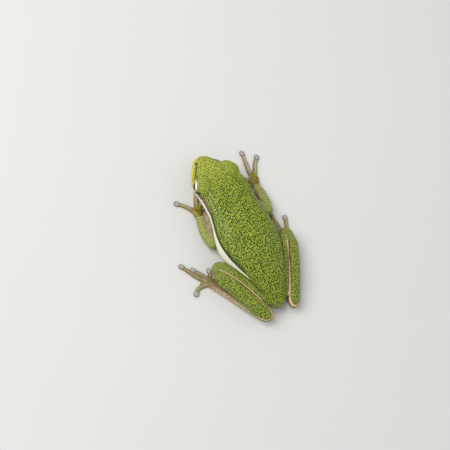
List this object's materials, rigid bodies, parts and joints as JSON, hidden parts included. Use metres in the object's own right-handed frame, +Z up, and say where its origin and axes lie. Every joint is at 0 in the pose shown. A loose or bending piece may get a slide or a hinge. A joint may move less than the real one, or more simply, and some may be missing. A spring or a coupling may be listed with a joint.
{
  "type": "green tree frog",
  "caption": "Green tree frog at rest on its belly, legs folded at its sides, fingers and toes spread with round pads at the tips.",
  "frame": {"origin": "on the floor under the middle of the belly, at the centre of the flat that the belly rests on", "axes": "-Y is the way the frog faces, +X is its left side, +Z is up"},
  "size_m": [0.0396, 0.0527, 0.0121],
  "materials": {
    "green_skin": "moist, finely granular",
    "pale_skin": "moist, smooth",
    "eye_surface": "wet and glossy"
  },
  "bodies": {
    "root": {"head": "green_skin", "torso": "green_skin", "eye_left": "eye_surface", "eye_right": "eye_surface", "upper_arm_left": "green_skin", "forearm_left": "green_skin", "hand_left": "pale_skin", "thigh_left": "green_skin", "shank_left": "green_skin", "tarsus_left": "pale_skin", "foot_left": "pale_skin", "upper_arm_right": "green_skin", "forearm_right": "green_skin", "hand_right": "pale_skin", "thigh_right": "green_skin", "shank_right": "green_skin", "tarsus_right": "pale_skin", "foot_right": "pale_skin"}
  },
  "joints": []
}
